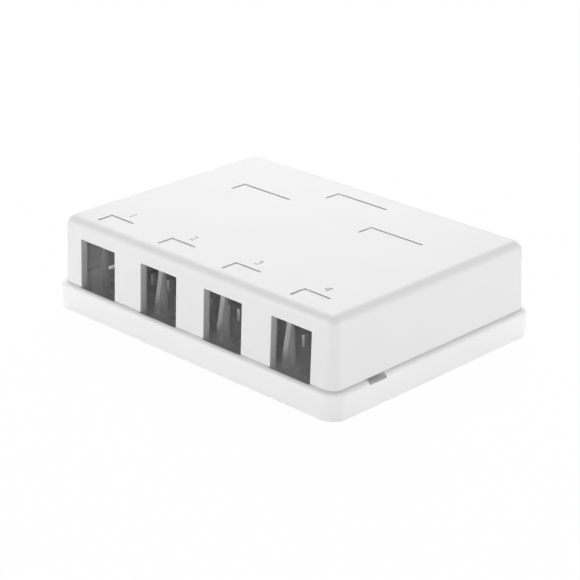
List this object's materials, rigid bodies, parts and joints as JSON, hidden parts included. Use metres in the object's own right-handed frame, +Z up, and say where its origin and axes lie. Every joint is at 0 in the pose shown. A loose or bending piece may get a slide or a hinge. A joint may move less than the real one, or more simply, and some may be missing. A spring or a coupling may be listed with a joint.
{
  "type": "surface mount jack box",
  "caption": "Low white plastic surface mount box for keystone style jacks, with a push-fit cover, a row of front ports and a flat base for a wall or desk.",
  "frame": {"origin": "middle of the base's flat underside", "axes": "+X along the row of ports from port 1 to port 4, the ports look towards -Y, +Z up out of the surface the box is fixed to"},
  "size_m": [0.1132, 0.0832, 0.0284],
  "materials": {
    "base_plastic": "white moulded plastic, fine satin grain",
    "cover_plastic": "white moulded plastic, fine satin grain"
  },
  "bodies": {
    "base_body": {"base": "base_plastic"},
    "cover_body": {"cover": "cover_plastic"}
  },
  "joints": [
    {"name": "cover_lift", "type": "slide", "parent": "base_body", "child": "cover_body", "axis": [0, 0, 1], "range_m": [0, 0.03]}
  ]
}
